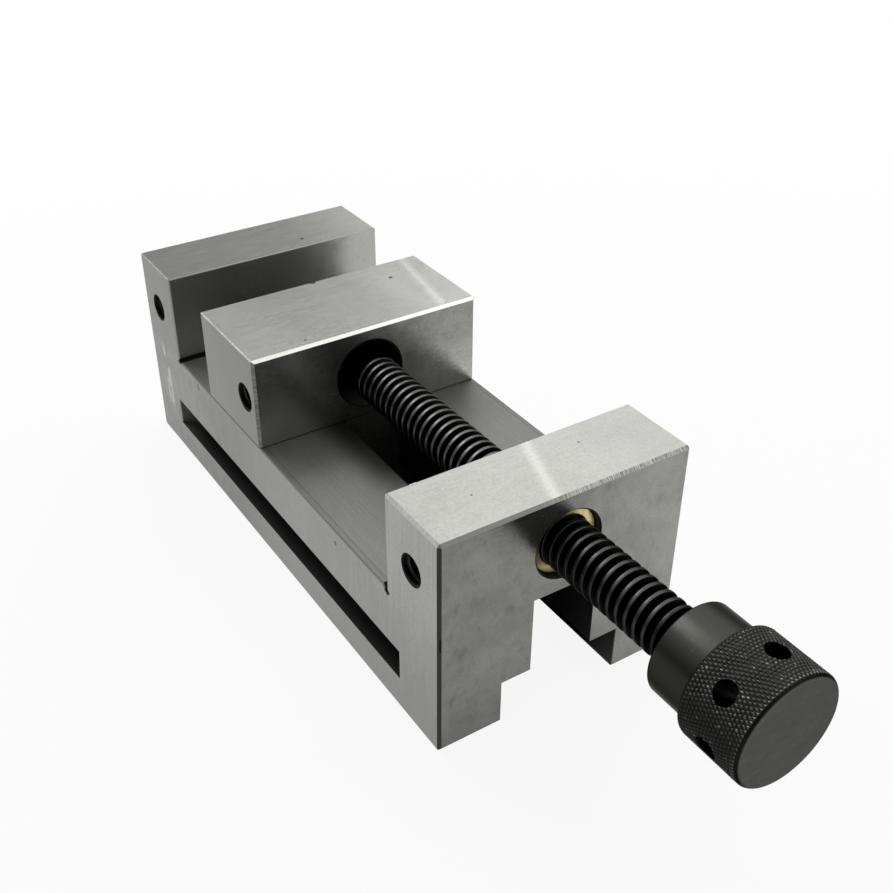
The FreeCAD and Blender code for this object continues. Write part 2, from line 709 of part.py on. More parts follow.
def make_grub_screw(label, role, diameter, length, key, key_depth):
    body = new_body(label)
    blank = new_sketch(body, role, "blank")
    circle(blank, 0, 0, diameter)
    pad(body, blank, length)
    socket = new_sketch(body, role, "socket", length)
    hexagon(socket, 0, 0, key)
    pocket(body, socket, key_depth)
    return body


def make_nut_lock_screw():
    body = make_grub_screw("nut_lock_screw", "XZ_Plane", side_screw_diameter,
                           size.lock_screw_length, size.lock_key, size.lock_key_depth)
    put(body, x=front_x - size.nut_lock_place, y=-(size.nut_diameter / 2 + size.seat_gap),
        z=screw_height)
    return body


def make_ring_lock_screw():
    body = make_grub_screw("ring_lock_screw", "XZ_Plane", side_screw_diameter,
                           size.lock_screw_length, size.lock_key, size.lock_key_depth)
    put(body, x=jaw_front_x - size.ring_lock_place, y=-(size.ring_diameter / 2 + size.seat_gap),
        z=screw_height)
    return body


def make_knob_set_screw():
    """Modelled about the screw's axis, so that it turns to its place with the knob."""
    body = new_body("knob_set_screw")
    put(body, x=knob_x + size.hub_length / 2, z=screw_height)
    tip = size.spigot_diameter / 2 + size.seat_gap
    blank = new_sketch(body, "XY_Plane", "blank", -tip)
    circle(blank, 0, 0, knob_screw_diameter)
    pad(body, blank, size.knob_screw_length, reversed_way=True)
    socket = new_sketch(body, "XY_Plane", "socket", -tip - size.knob_screw_length)
    hexagon(socket, 0, 0, size.knob_key)
    pocket(body, socket, size.knob_key_depth, reversed_way=True)
    turn(body)
    return body


pieces = [
    make_vise_body(), make_movable_jaw(), make_keeper_plate(), make_keeper_screws(), make_lead_screw(),
    make_screw_nut(), make_retaining_ring(), make_thrust_pad(), make_knob(), make_nut_lock_screw(),
    make_ring_lock_screw(), make_knob_set_screw(),
]
doc.recompute()

for item in doc.Objects:
    if "Invalid" in item.State or "Error" in item.State:
        raise RuntimeError(f"{item.Label} didn't compute: {item.State}")
for piece in pieces:
    if piece.Shape.isNull() or not piece.Shape.isValid():
        raise RuntimeError(f"{piece.Label} has no valid shape")

os.makedirs("parts", exist_ok=True)
for piece in pieces:
    piece.Shape.exportStep(f"parts/{piece.Label}.step")
    box = piece.Shape.BoundBox
    print(f"{piece.Label}: {len(piece.Shape.Solids)} solid(s), {piece.Shape.Volume / 1000:.2f} cm3, "
          f"x {box.XMin:.2f} to {box.XMax:.2f}, y {box.YMin:.2f} to {box.YMax:.2f}, "
          f"z {box.ZMin:.2f} to {box.ZMax:.2f}")
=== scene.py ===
# %% [markdown]
# A precision tool vise, dressed for its picture.
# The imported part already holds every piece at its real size: the ground body, the sliding jaw, the lead
# screw in its nut, the knob and the small screws. This lesson adds what a camera sees on top of that: a
# real thread on the lead screw and in the nut, a diamond knurl on the knob, threads in the tapped holes,
# and the finish of the metals.

import math

import bmesh
import bpy
import numpy as np
from mathutils import Matrix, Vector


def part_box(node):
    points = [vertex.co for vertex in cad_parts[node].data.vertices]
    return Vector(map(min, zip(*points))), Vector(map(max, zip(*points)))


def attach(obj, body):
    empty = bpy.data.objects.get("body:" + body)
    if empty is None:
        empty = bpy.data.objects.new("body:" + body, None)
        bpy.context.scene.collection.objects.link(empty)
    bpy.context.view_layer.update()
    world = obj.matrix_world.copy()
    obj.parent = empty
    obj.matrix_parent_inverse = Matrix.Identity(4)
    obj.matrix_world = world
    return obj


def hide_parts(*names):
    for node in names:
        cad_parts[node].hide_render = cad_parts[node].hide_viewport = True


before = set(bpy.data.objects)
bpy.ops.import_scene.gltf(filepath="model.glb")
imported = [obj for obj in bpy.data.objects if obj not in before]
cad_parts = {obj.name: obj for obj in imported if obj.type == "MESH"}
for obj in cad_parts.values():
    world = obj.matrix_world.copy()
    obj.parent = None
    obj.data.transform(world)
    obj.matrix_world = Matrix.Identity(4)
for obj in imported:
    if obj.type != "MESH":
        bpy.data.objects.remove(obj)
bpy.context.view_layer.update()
print("packed nodes:", ", ".join(sorted(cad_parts)))

# %% [markdown]
# Lengths are easier to read in millimetres, as on a drawing, and Blender wants metres. One factor
# turns one into the other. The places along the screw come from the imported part, so a changed part
# brings its thread and its knurl along.

# %% Places taken from the part
MM = 0.001
BED_LEVEL = 36.0
STOP_HOLE_PLACE = 10.8


def box_mm(node):
    """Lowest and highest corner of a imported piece, in millimetres."""
    low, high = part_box(node)
    return np.array(low) / MM, np.array(high) / MM


body_low, body_high = box_mm("vise_body")
_, jaw_high = box_mm("movable_jaw")
screw_low, screw_high = box_mm("lead_screw")
knob_low, knob_high = box_mm("knob")
nut_low, nut_high = box_mm("screw_nut")
nut_lock_low, nut_lock_high = box_mm("nut_lock_screw")
ring_lock_low, ring_lock_high = box_mm("ring_lock_screw")

axis_z = (screw_low[2] + screw_high[2]) / 2
side_y = body_low[1]
stop_hole_x = body_low[0] + STOP_HOLE_PLACE
nut_lock_x = (nut_lock_low[0] + nut_lock_high[0]) / 2
ring_lock_x = (ring_lock_low[0] + ring_lock_high[0]) / 2
block_face_x = nut_low[0]
print(f"screw axis {axis_z:.2f} mm up, screw {screw_high[0] - screw_low[0]:.1f} mm long")


# %% [markdown]
# The camera stands where the photographer stood: to the left of the knob and well above it. A camera
# is three directions in a matrix (right, up and back) and a place. The small roll is the tilt of the
# hand-held picture.

# %% The camera
PICTURE_WIDTH = 893


def add_camera(azimuth, elevation, roll, focal_pixels, place):
    """A camera that looks against its back direction, turned by roll about it.

    Angles are in degrees and the place in millimetres. focal_pixels is the lens in pixels of the picture.
    """
    a, e, r = (math.radians(angle) for angle in (azimuth, elevation, roll))
    back = np.array([math.sin(a) * math.cos(e), -math.cos(a) * math.cos(e), math.sin(e)])
    level = np.array([math.cos(a), math.sin(a), 0.0])
    upright = np.cross(back, level)
    right = math.cos(r) * level + math.sin(r) * upright
    up = -math.sin(r) * level + math.cos(r) * upright
    data = bpy.data.cameras.new("camera")
    data.sensor_width = 36.0
    data.lens = focal_pixels * data.sensor_width / PICTURE_WIDTH
    data.clip_start = 0.01
    camera = bpy.data.objects.new("camera", data)
    turned = np.eye(4)
    turned[:3, 0], turned[:3, 1], turned[:3, 2], turned[:3, 3] = right, up, back, place * MM
    camera.matrix_world = Matrix(turned.tolist())
    bpy.context.scene.collection.objects.link(camera)
    bpy.context.scene.camera = camera
    return camera


camera = add_camera(azimuth=57.024, elevation=34.030, roll=0.243, focal_pixels=1182.39,
                    place=np.array([220.924, -143.237, 224.714]))
print(f"lens {camera.data.lens:.2f} mm")


# %% [markdown]
# A shader is arithmetic on numbers that change over a surface. Wiring Math nodes by hand hides that,
# so a small class does it: Number wraps a socket and adds a Math node for each operator.

# %% Shader arithmetic
class Number:
    """A changing number in a node tree. An expression on it adds the Math nodes that work it out."""

    def __init__(self, nodes, socket):
        self.nodes = nodes
        self.socket = socket

    def maths(self, operation, *values):
        settings = {"operation": operation}
        return self.nodes.node("ShaderNodeMath", settings, dict(enumerate(values)))

    def __add__(self, other):
        return self.maths("ADD", self, other)

    def __radd__(self, other):
        return self.maths("ADD", other, self)

    def __sub__(self, other):
        return self.maths("SUBTRACT", self, other)

    def __rsub__(self, other):
        return self.maths("SUBTRACT", other, self)

    def __mul__(self, other):
        return self.maths("MULTIPLY", self, other)

    def __rmul__(self, other):
        return self.maths("MULTIPLY", other, self)

    def __abs__(self):
        return self.maths("ABSOLUTE", self)

    def __gt__(self, other):
        return self.maths("GREATER_THAN", self, other)

    def __lt__(self, other):
        return self.maths("LESS_THAN", self, other)

    def root(self):
        return self.maths("SQRT", self)

    def sine(self):
        return self.maths("SINE", self)

    def largest(self, other):
        return self.maths("MAXIMUM", self, other)

    def between(self, low, high):
        """1 where low < number < high, and 0 elsewhere."""
        return (self > low) * (self < high)

    def rise(self, low, high):
        """0 below low, 1 above high, and a smooth step in between."""
        settings = {"interpolation_type": "SMOOTHSTEP"}
        limits = {0: self, 1: low, 2: high, 3: 0.0, 4: 1.0}
        return self.nodes.node("ShaderNodeMapRange", settings, limits)


# %% [markdown]
# Any other node takes the same four steps: add it, choose its settings, fill its sockets, and keep the
# output that is wanted. One method does them all, so that a node is one line wherever it is needed.

# %% Any other node
class Nodes:
    """A node tree, and one method that adds any node to it."""

    def __init__(self, tree):
        self.tree = tree

    def node(self, kind, settings=None, inputs=None, out=0):
        """Adds a node: its settings first, then the values or links of its sockets."""
        made = self.tree.nodes.new(kind)
        for name, value in (settings or {}).items():
            setattr(made, name, value)
        for name, value in (inputs or {}).items():
            self.feed(made.inputs[name], value)
        return Number(self, made.outputs[out])

    def feed(self, socket, value):
        """Links a changing value to a socket, or sets a fixed one on it."""
        if isinstance(value, Number):
            self.tree.links.new(value.socket, socket)
        elif socket.type == "RGBA":
            socket.default_value = (*value, 1.0)
        else:
            socket.default_value = value

    def split(self, vector):
        """The three parts of a vector."""
        first = self.node("ShaderNodeSeparateXYZ", inputs={0: vector})
        return tuple(Number(self, socket) for socket in first.socket.node.outputs)


# %% [markdown]
# Every finish below asks the same questions: where on the piece am I, which way does it face here, and
# how cloudy is it. Paint is the Nodes of one material with those answers at hand. Object coordinates
# are used, in millimetres, so a pattern stays on its piece when the piece moves.

# %% Paint
class Paint(Nodes):
    """One material: its Principled shader, the place on the object in millimetres, and its facing."""

    def __init__(self, name):
        self.material = bpy.data.materials.new(name)
        self.material.use_nodes = True
        super().__init__(self.material.node_tree)
        self.shader = self.tree.nodes["Principled BSDF"]
        self.place = self.scaled(self.node("ShaderNodeTexCoord", out="Object"), (1 / MM,) * 3)
        self.x, self.y, self.z = self.split(self.place)
        facing = self.node("ShaderNodeTexCoord", out="Normal")
        self.facing_x, self.facing_y, self.facing_z = self.split(facing)

    def scaled(self, vector, factors):
        """A vector with each of its parts times a factor of its own."""
        return self.node("ShaderNodeVectorMath", {"operation": "MULTIPLY"}, {0: vector, 1: factors})

    def noise(self, stretch, detail=2.0, roughness=0.5):
        """Cloudy noise from 0 to 1. stretch is the number of patches per millimetre along X, Y and Z."""
        return self.node("ShaderNodeTexNoise", inputs={
            "Vector": self.scaled(self.place, stretch), "Scale": 1.0, "Detail": detail,
            "Roughness": roughness})

    def blend(self, factor, first, second):
        """The first colour where factor is 0, the second where it is 1."""
        return self.node("ShaderNodeMix", {"data_type": "RGBA"}, {0: factor, 6: first, 7: second}, out=2)

    def reach(self, first, second):
        """Distance from a line, from the two coordinates across it."""
        return (first * first + second * second).root()

    def bump(self, height, distance):
        """Bends the normal by a height. distance is what height 1 stands for, in millimetres."""
        normal = self.node("ShaderNodeBump", inputs={
            "Height": height, "Strength": 1.0, "Distance": distance * MM})
        self.finish(Normal=normal)

    def finish(self, **sockets):
        """Sets or links the shader's sockets. An underscore in a name stands for a space."""
        for name, value in sockets.items():
            self.feed(self.shader.inputs[name.replace("_", " ")], value)
        return self.material


# %% [markdown]
# Ground steel is what most of this vise is. A grinding wheel leaves fine parallel lines, so the
# surface is a mirror that smears what it shows across the lines and keeps it sharp along them. The
# lines run across the jaws on the tops and the upright faces, and lengthwise on the bed and the sides.
# A bump of stretched noise bends the mirror only across its lines, which is what the real lines do.
# The tone varies as well: clouds of oil and handling, a fine sand, and short streaks down the sides.
# The bed is duller than the rest and has ruled lines, and a milled recess is dull, not metallic, and
# painted nearly black as shade.

# %% Ground steel
STEEL = (0.272, 0.276, 0.257)
TONE_UNIT = 0.3
LINE_HEIGHT = 0.03
FLAT = 0.9
SIDE_HOLE_RADIUS = 4.4
SIDE_HOLE_END = -8.0


class GroundSteel(Paint):
    """The steel of the body and of the jaw. Masks are 1 on the faces that their names tell.

    A face is flat towards an axis when more than FLAT of its direction lies along it.
    """

    def __init__(self, name):
        super().__init__(name)
        self.upward = abs(self.facing_z) > FLAT
        self.forward = abs(self.facing_x) > FLAT
        self.sideways = abs(self.facing_y) > FLAT
        self.bevel = 1 - (self.upward + self.forward + self.sideways)
        self.on_bed = self.upward * self.z.between(BED_LEVEL - 1, BED_LEVEL + 1)
        self.on_top = self.upward * (self.z > BED_LEVEL + 1)
        self.milled_and_shaded = 0.0
        lines_across = self.noise((8.0, 0.06, 8.0), detail=2.0)
        lines_along = self.noise((0.06, 8.0, 8.0), detail=2.0)
        lengthwise = self.on_bed + self.sideways
        self.grain = lines_along * lengthwise + lines_across * (1 - lengthwise)
        self.cloud = self.noise((0.07, 0.07, 0.07), detail=4.0, roughness=0.6)
        self.sand = self.noise((1.7, 1.7, 1.7), detail=3.0, roughness=0.7)
        drawn = self.noise((0.9, 0.9, 0.04), detail=3.0)
        fine = self.noise((3.2, 3.2, 3.2), detail=1.0)
        ruled = self.noise((0.03, 1.5, 1.5), detail=3.0)
        self.tone = (0.56 + 0.20 * self.cloud + 0.40 * self.sand + 0.08 * self.grain
                     + 0.30 * self.sideways * (drawn - 0.5) + 0.45 * (1 - self.upward) * (fine - 0.5)
                     + 0.28 * self.on_bed * (ruled - 0.5))

    def from_line(self, turn, distance):
        """How far the place is from a line across the tops.

        The line's nearest point to the middle of the part is that distance away, turn degrees from X.
        """
        turn = math.radians(turn)
        return abs(math.cos(turn) * self.x + math.sin(turn) * self.y - distance)

    def side_hole(self, hole_x):
        """1 inside a tapped hole of the left side, with its chamfer, and 0 outside."""
        outside = self.reach(self.x - hole_x, self.z - axis_z) > SIDE_HOLE_RADIUS
        return (1 - outside) * (self.y < SIDE_HOLE_END)

    def pits(self, places):
        """Pinholes and nicks, from pairs of a place and a radius: 1 in the middle, 0 past the radius."""
        total = 0.0
        for place, radius in places:
            distance = self.node("ShaderNodeVectorMath", {"operation": "DISTANCE"},
                                 {0: self.place, 1: place}, out="Value")
            total = total + (1 - distance.rise(0.45 * radius, radius))
        return total

    def chamfers(self, tone):
        """Gives the chamfers a tone of their own."""
        self.tone = self.tone * (1 - self.bevel) + tone * self.bevel

    def wear_and_painted_light(self, changes):
        """Makes the steel lighter by mask * amount, summed over pairs of a mask and an amount, for wear
        and painted light alike.
        """
        self.tone = self.tone * (1 + sum(amount * mask for mask, amount in changes))

    def darken(self, mask, amount):
        """Takes a share of the tone away where the mask is 1."""
        self.tone = self.tone * (1 - amount * mask)

    def done(self, roughness=0.12):
        """Puts tone, grain and roughness on the shader.

        A blend's factor ends at 1 and the tone doesn't, so TONE_UNIT takes the tone down to a factor
        and the colour up by as much.
        """
        # Painted shade: the recesses are darkened nearly to black.
        self.darken(self.milled_and_shaded, 0.96)
        brightest = tuple(part / TONE_UNIT for part in STEEL)
        color = self.blend(self.tone * TONE_UNIT, (0.0, 0.0, 0.0), brightest)
        self.bump(self.grain + 0.18 * self.on_top * self.sand, LINE_HEIGHT)
        rough = roughness + 0.08 * self.cloud + 0.18 * self.bevel + 0.34 * self.on_bed + 0.4 * self.milled_and_shaded
        metallic = (0.84 - 0.26 * self.on_bed) * (1 - self.milled_and_shaded)
        print(f"{self.material.name}: {len(self.tree.nodes)} nodes")
        return self.finish(Base_Color=color, Metallic=metallic, Roughness=rough, Specular_IOR_Level=0.2)


# %% [markdown]
# The body's recesses were milled, so they are dull and not metallic. They are also painted much darker
# than the ground faces as painted shade, since little light gets into them: the guide slot, the channel
# under it, the clamp grooves, the relief grooves at the foot of jaw and block, and the holes. There is
# less painted shade in the clamp grooves, and least at their rear. Each mask is a box or a cylinder just
# larger than its recess, so it takes in the walls and nothing else.

# %% Recesses of the body
# In millimetres: HALF is measured from the middle plane, TOP and BOTTOM from the base, and REAR and
# FRONT from that end of the body.
BASE_EDGE = 0.2
INSIDE_REAR = 11.0
INSIDE_FRONT = 0.3
SLOT_HALF = 10.2
CHANNEL_HALF = 18.3
CHANNEL_TOP = 13.9
GROOVE_REAR = 17.3
GROOVE_FRONT = 17.9
GROOVE_HALF = 36.2
GROOVE_BOTTOM = 9.8
GROOVE_TOP = 19.2
RELIEF_HALF = 36.1
NUT_HOLE_RADIUS = 9.9
block_start = block_face_x - 0.1


def body_recesses(steel):
    """1 on the walls of the milled recesses, where shade is painted, less in the clamp grooves, and least
    at their rear.
    """
    x, z, from_middle = steel.x, steel.z, abs(steel.y)
    inside = x.between(body_low[0] + INSIDE_REAR, body_high[0] - INSIDE_FRONT)
    slot = inside * (from_middle < SLOT_HALF) * z.between(BASE_EDGE, BED_LEVEL + 0.4)
    channel = inside * (from_middle < CHANNEL_HALF) * z.between(BASE_EDGE, CHANNEL_TOP)
    groove = x.between(body_low[0] + GROOVE_REAR, body_high[0] - GROOVE_FRONT)
    groove = groove * (from_middle < GROOVE_HALF) * z.between(GROOVE_BOTTOM, GROOVE_TOP)
    groove = groove * (0.70 + 0.27 * x.rise(-108.0, -90.0))
    relief = steel.bevel * (from_middle < RELIEF_HALF) * z.between(BED_LEVEL - 3, BED_LEVEL + 0.9)
    nut_hole = (x > block_start) * (1 - (steel.reach(steel.y, z - axis_z) > NUT_HOLE_RADIUS))
    holes = steel.side_hole(stop_hole_x).largest(steel.side_hole(nut_lock_x)).largest(nut_hole)
    return holes.largest(slot).largest(channel).largest(relief).largest(groove)


# %% [markdown]
# The chamfers of the screw block were cut with an end mill. The one along the front of its top has
# ticks across its right half, and the upright corners are painted black as a dark reflection. The edges
# along the sides are painted lighter than the faces beside them as a highlight, with worn dashes, and
# those of the bed are dull.

# %% Chamfers of the body
SLANTED = 0.3


def body_chamfers(steel):
    """The tone of the chamfers. One faces an axis if more than SLANTED of its direction lies along it."""
    on_block = steel.x > block_start
    front_top = on_block * (steel.facing_x > SLANTED) * (steel.facing_z > SLANTED)
    upright = on_block * (abs(steel.facing_z) < SLANTED)
    side_edge = (abs(steel.facing_x) < SLANTED) * (steel.facing_z > SLANTED)
    bed_edge = side_edge * (steel.z < BED_LEVEL + 2)
    ticks = steel.noise((0.3, 3.4, 0.3), detail=1.0).rise(0.42, 0.56) * steel.y.rise(-12.0, 4.0)
    dashes = steel.noise((2.4, 0.3, 0.3), detail=2.0).rise(0.45, 0.6)
    # Painted reflection: the block's upright corners dark. Painted highlight: the edges along the sides
    # lighter.
    return (0.95 + front_top * (1.1 * ticks - 0.1) + (side_edge - bed_edge) * (0.9 - 0.4 * dashes)
            - 0.82 * upright - 0.25 * bed_edge)


# %% [markdown]
# Use has marked the body, and painted light and shade come on top of the marks. A painted highlight streak
# crosses the block's top, its front is stained and thumbed, and the left side is wiped at the rear and
# fogged in front of that. Painted shade darkens the bed, the right of the block's top, the left of the
# fixed jaw's top and the foot of the front. Painted light and shade make the left side darker towards its
# rear and its foot and lighter high on the block. Painted reflection lightens the faces that look along
# the body towards the right, and the fixed jaw's front. Each mark is a mask, and a list of pairs says how
# much lighter or darker it makes the steel. Its limits are places on the body in millimetres, as the
# picture shows them. Scribed lines along the bed's edges, a painted shade on the bed beside the slot
# towards the rear, and a few pinholes come on top of that.

# %% Wear and painted light of the body
SCRIBED_LINE = 34.75
FIXED_JAW_END = -90.0
FRONT_START = 50.0
top_z = body_high[2]

# Pinholes and nicks: place and radius of each.
BODY_PITS = [
    ((37.43, 14.18, top_z), 0.36),
    ((41.47, -19.94, top_z), 0.36),
    ((-105.8, 12.0, top_z), 0.8),
    ((-85.7, side_y, 33.4), 1.5),
    ((29.5, side_y, 34.8), 0.9),
    ((3.5, side_y, 31.9), 0.8),
]


def body_wear_and_painted_light(steel):
    """Pairs of a mask and how much lighter it makes the steel."""
    x, y, z = steel.x, steel.y, steel.z
    at_rear = x < FIXED_JAW_END
    on_block = x > block_start
    front = steel.forward * (x > FRONT_START)
    rub_and_painted_highlight = on_block * steel.on_top * (1 - steel.from_line(72.0, 12.28).rise(0.0, 3.4))
    stain = steel.noise((0.1, 0.1, 0.1), detail=5.0, roughness=0.65).rise(0.35, 0.65)
    thumbed = steel.noise((0.4, 0.4, 0.22), detail=3.0).rise(0.55, 0.75)
    painted_light_along_side = x.rise(-75.0, -15.0) + 0.7 * x.rise(15.0, 35.0) * z.rise(20.0, 50.0)
    fog = steel.noise((0.3, 0.3, 0.12), detail=4.0).rise(0.40, 0.56) * steel.sideways * (y < -36.0)
    wiped = fog * x.between(-115.2, -110.8) * z.rise(12.0, 16.0) * (1 - z.rise(33.0, 37.0))
    fogged = fog * (1 - x.rise(-95.0, -45.0)) * (1 - z.rise(34.0, 40.0))
    return [
        # Painted highlight: a streak of light across the block's top.
        (rub_and_painted_highlight * rub_and_painted_highlight, 0.34),
        # Painted shade: the block's top darker towards the right, the fixed jaw's top towards the left.
        (steel.on_top * on_block * y.rise(8.0, 30.0), -0.07),
        (steel.on_top * at_rear * (1 - y.rise(8.0, 38.0)), -0.36),
        # Painted reflection: faces that look along the body lighter towards the right, the fixed jaw's
        # front lighter, less at its right end.
        (steel.forward * y.rise(-10.0, 36.0), 0.34),
        (steel.forward * at_rear, 0.85),
        (steel.forward * at_rear * y.rise(15.0, 28.0), -0.35),
        (front * stain, -0.20),
        (front * thumbed, -0.16),
        # Painted shade: the front darker towards its foot.
        (front * (1 - z.rise(2.0, 34.0)), -0.22),
        # Painted light and shade: the left side darker towards the rear and its foot, lighter high on the
        # block.
        (steel.sideways * (1 - painted_light_along_side), -0.46),
        (steel.sideways * (1 - z.rise(3.0, 24.0)), -0.16),
        (wiped, 0.70),
        (fogged, 0.14),
        # Painted shade: the bed darker than the rest.
        (steel.on_bed, -0.40),
    ]


def body_steel():
    steel = GroundSteel("ground body")
    from_middle = abs(steel.y)
    steel.milled_and_shaded = body_recesses(steel)
    steel.chamfers(body_chamfers(steel))
    steel.wear_and_painted_light(body_wear_and_painted_light(steel))
    steel.darken(steel.on_bed * (1 - abs(from_middle - SCRIBED_LINE).rise(0.08, 0.32)), 0.24)
    steel.darken(steel.on_bed * (from_middle > SCRIBED_LINE), 0.07)
    # Painted shade: the bed darker beside the slot, towards the rear.
    painted_shade_by_slot = steel.on_bed * (1 - from_middle.rise(11.0, 22.0)) * (1 - steel.x.rise(-15.0, 4.0))
    steel.darken(painted_shade_by_slot, 0.82)
    steel.darken(steel.pits(BODY_PITS), 0.9)
    return steel.done()


# %% [markdown]
# The movable jaw has one bright edge: the front chamfer along its top is painted nearly white as a
# highlight.
# The upright chamfers are painted dark as a reflection, with lighter rungs from the cutter, and the edges
# along the sides carry a painted highlight, broken in worn dashes. A painted highlight streak crosses the
# far end of its top, and painted shade darkens the middle of the top. Its front face is stained, and
# painted lighter towards the right and at its foot beside the tongue as a reflection of the bed. Its sides
# are painted darker as shade, the relief under the tongue and the tapped hole are painted dark as shade,
# and a dark line of oil runs round its foot.
# The keeper and the thrust pad are the same steel, plain and a little duller.

# %% Steel of the jaw
CHAMFER_LENGTH = 0.82
TONGUE_HALF = 11.0
OIL_LINE_HEIGHT = 0.26
JAW_PITS = [((-44.28, -18.36, jaw_high[2]), 0.5), ((-65.6, 21.9, jaw_high[2]), 0.8)]


def jaw_chamfers(steel):
    """The tone of the chamfers: front top, front uprights, and the edges along the sides."""
    front = steel.bevel * (steel.x > jaw_high[0] - CHAMFER_LENGTH)
    front_top = front * (steel.facing_z > SLANTED)
    side_edge = (1 - front) * (steel.facing_z > SLANTED)
    dashes = steel.noise((1.1, 0.3, 0.3), detail=2.0).rise(0.45, 0.6)
    rungs = steel.noise((0.3, 0.3, 4.0), detail=1.0).rise(0.38, 0.60)
    # Painted highlight: the front top chamfer nearly white, the side edges lighter. Painted reflection:
    # the front uprights dark.
    return (0.95 + 2.2 * front_top + (0.30 * rungs - 0.53) * (front - front_top)
            + side_edge * (1.7 - 0.8 * dashes))


def jaw_wear_and_painted_light(steel):
    """Pairs of a mask and how much lighter it makes the steel."""
    face = steel.forward * (steel.x > jaw_high[0] - 1.0)
    stain = steel.noise((0.13, 0.13, 0.13), detail=5.0, roughness=0.7).rise(0.4, 0.7)
    rub_and_painted_highlight = steel.on_top * (1 - steel.from_line(80.57, 18.66).rise(0.0, 3.2))
    return [
        # Painted highlight: a streak of light across the far end of the top.
        (rub_and_painted_highlight * rub_and_painted_highlight, 0.34),
        # Painted shade: the middle of the top darker.
        (steel.on_top * steel.y.rise(-34.0, -12.0) * (1 - steel.y.rise(6.0, 24.0)), -0.20),
        (face * stain, -0.25),
        # Painted reflection: the front face lighter towards the right, and at its foot beside the tongue.
        (face * steel.y.rise(-5.0, 30.0), 0.25),
        (face * abs(steel.y).rise(9.0, 20.0) * (1 - steel.z.rise(40.0, 57.0)), 0.60),
        # Painted shade: the sides darker.
        (steel.sideways, -0.38),
    ]


def jaw_steel():
    steel = GroundSteel("ground jaw")
    # Painted shade: the relief under the tongue and the tapped hole, darkened like the body's recesses.
    tongue_relief = steel.bevel * (abs(steel.y) < TONGUE_HALF) * (steel.z < BED_LEVEL + 1.2)
    steel.milled_and_shaded = steel.side_hole(ring_lock_x).largest(tongue_relief)
    steel.chamfers(jaw_chamfers(steel))
    steel.wear_and_painted_light(jaw_wear_and_painted_light(steel))
    oil_top = BED_LEVEL + OIL_LINE_HEIGHT + 0.2 * steel.sideways
    oil_line = (1 - steel.upward) * steel.z.between(BED_LEVEL, oil_top)
    steel.darken(oil_line, 0.85)
    steel.darken(steel.pits(JAW_PITS), 0.9)
    return steel.done()


def plain_steel(name):
    return GroundSteel(name).done(roughness=0.22)


# %% [markdown]
# Black oxide is a thin, slightly oily skin on turned steel. It mirrors about three parts in a hundred,
# and, unlike paint or glass, hardly more at a grazing look. A metal with a very dark base colour does
# the same when its edge tint is lowered too. Where the skin rubs off, on the crests of a thread or the
# points of a knurl, bare steel comes through. The retaining ring is duller than the rest.

# %% Black oxide
BLACK = (0.030, 0.031, 0.027)
DEEP = (0.006, 0.006, 0.0055)
DULL = (0.020, 0.021, 0.020)
BARE = (0.13, 0.13, 0.125)
EDGE_TINT = (0.45, 0.45, 0.45)


def black_oxide(name, skin=BLACK, roughness=0.28):
    """The skin on a plain turned piece, a little rubbed in patches."""
    paint = Paint(name)
    smear = paint.noise((0.16, 0.16, 0.16), detail=4.0)
    paint.bump(paint.noise((4.0, 0.4, 0.4), detail=2.0), 0.01)
    return paint.finish(Base_Color=paint.blend(0.06 * smear.rise(0.5, 0.8), skin, BARE), Metallic=1.0,
                        Roughness=roughness + 0.12 * smear, Specular_Tint=EDGE_TINT)


# %% [markdown]
# The nut is turned brass, a little dull, with rings left by the tool. Its left half is painted dark as the
# screw's shade, the lowest part of it less, and patches of oil stain come on top.

# %% Brass
CLEAN_BRASS = (1.00, 0.86, 0.42)
STAINED_AND_SHADED_BRASS = (0.12, 0.09, 0.04)
RINGS = 14.0


def turned_brass(name):
    """Rings round the axis as a sine wave, RINGS radians of it per millimetre, under stains and painted
    shade.
    """
    paint = Paint(name)
    rings = (RINGS * paint.reach(paint.y, paint.z - axis_z)).sine()
    stain = paint.noise((0.5, 0.5, 0.5), detail=4.0).rise(0.35, 0.75)
    # Painted shade of the screw on the left half, and patches of oil stain.
    left = 1 - paint.y.rise(-2.0, 1.0)
    lowest = 1 - paint.z.rise(axis_z - 7.0, axis_z - 3.0)
    stain_and_shade = (0.4 * stain).largest(left * (1 - 0.45 * lowest))
    paint.bump(rings, 0.004)
    return paint.finish(Base_Color=paint.blend(stain_and_shade, CLEAN_BRASS, STAINED_AND_SHADED_BRASS), Metallic=0.70,
                        Roughness=0.38 + 0.12 * stain)


# %% [markdown]
# A imported piece whose shape is right keeps it. It only changes its material, in the slot that its mesh
# already has.

# %% Materials on the imported pieces
def dress(node, material):
    """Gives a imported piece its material. Its shape stays as it is."""
    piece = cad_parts[node]
    piece.data.materials.clear()
    piece.data.materials.append(material)
    print(f"{node}: {material.name}")


dress("vise_body", body_steel())
dress("movable_jaw", jaw_steel())
dress("keeper_plate", plain_steel("ground keeper"))
dress("thrust_pad", plain_steel("ground pad"))
dress("retaining_ring", black_oxide("black ring", skin=DULL, roughness=0.42))
small_black = black_oxide("black small screws")
for node in ("keeper_screws", "nut_lock_screw", "ring_lock_screw", "knob_set_screw"):
    dress(node, small_black)


# %% [markdown]
# Every new piece starts as arrays of points and faces. This helper makes the object, turns all faces
# outwards and marks the edges that stay sharp.

# %% From arrays to a piece
SHARP_EDGE = 35.0


